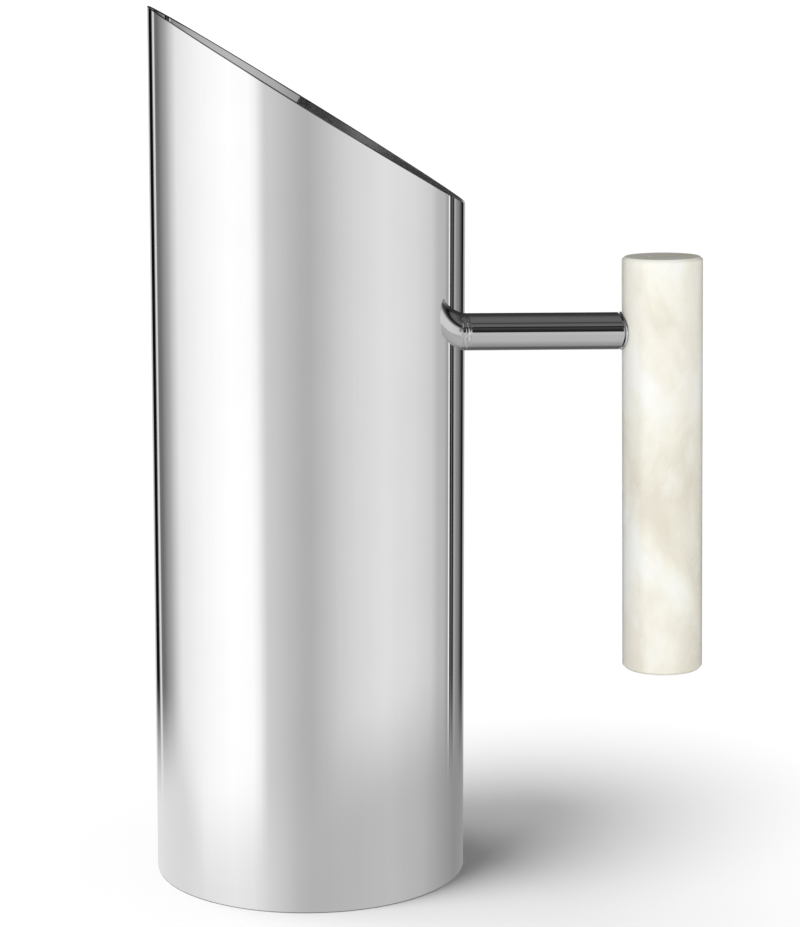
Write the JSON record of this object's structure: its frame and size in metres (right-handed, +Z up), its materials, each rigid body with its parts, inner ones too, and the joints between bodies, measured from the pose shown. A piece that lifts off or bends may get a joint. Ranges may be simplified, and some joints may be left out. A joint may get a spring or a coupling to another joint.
{
  "type": "water pitcher",
  "caption": "Tall polished-steel pitcher: straight tube with a slanted mouth, a short round bar for an arm and an upright pearl-resin grip.",
  "frame": {"origin": "centre of the flat underside, where the vessel's axis meets the surface it stands on", "axes": "+Z up along the vessel's axis, +X from the vessel to the handle, so the pouring tip is towards -X"},
  "size_m": [0.1784, 0.1, 0.279],
  "materials": {
    "polished_steel": "mirror-polished stainless steel",
    "satin_steel": "satin, lightly turned",
    "weld_steel": "dressed weld, satin",
    "stud_steel": "plain machined steel",
    "insert_brass": "plain machined brass",
    "pearl_resin": "polished cast resin with a cloudy mother-of-pearl figure"
  },
  "bodies": {
    "root": {"body_shell": "polished_steel", "base_disc": "satin_steel", "base_weld_bead": "weld_steel", "handle_arm": "polished_steel", "arm_weld_bead": "weld_steel", "grip_seat_ring": "polished_steel", "grip_stud": "stud_steel", "grip_insert": "insert_brass", "grip": "pearl_resin"}
  },
  "joints": []
}
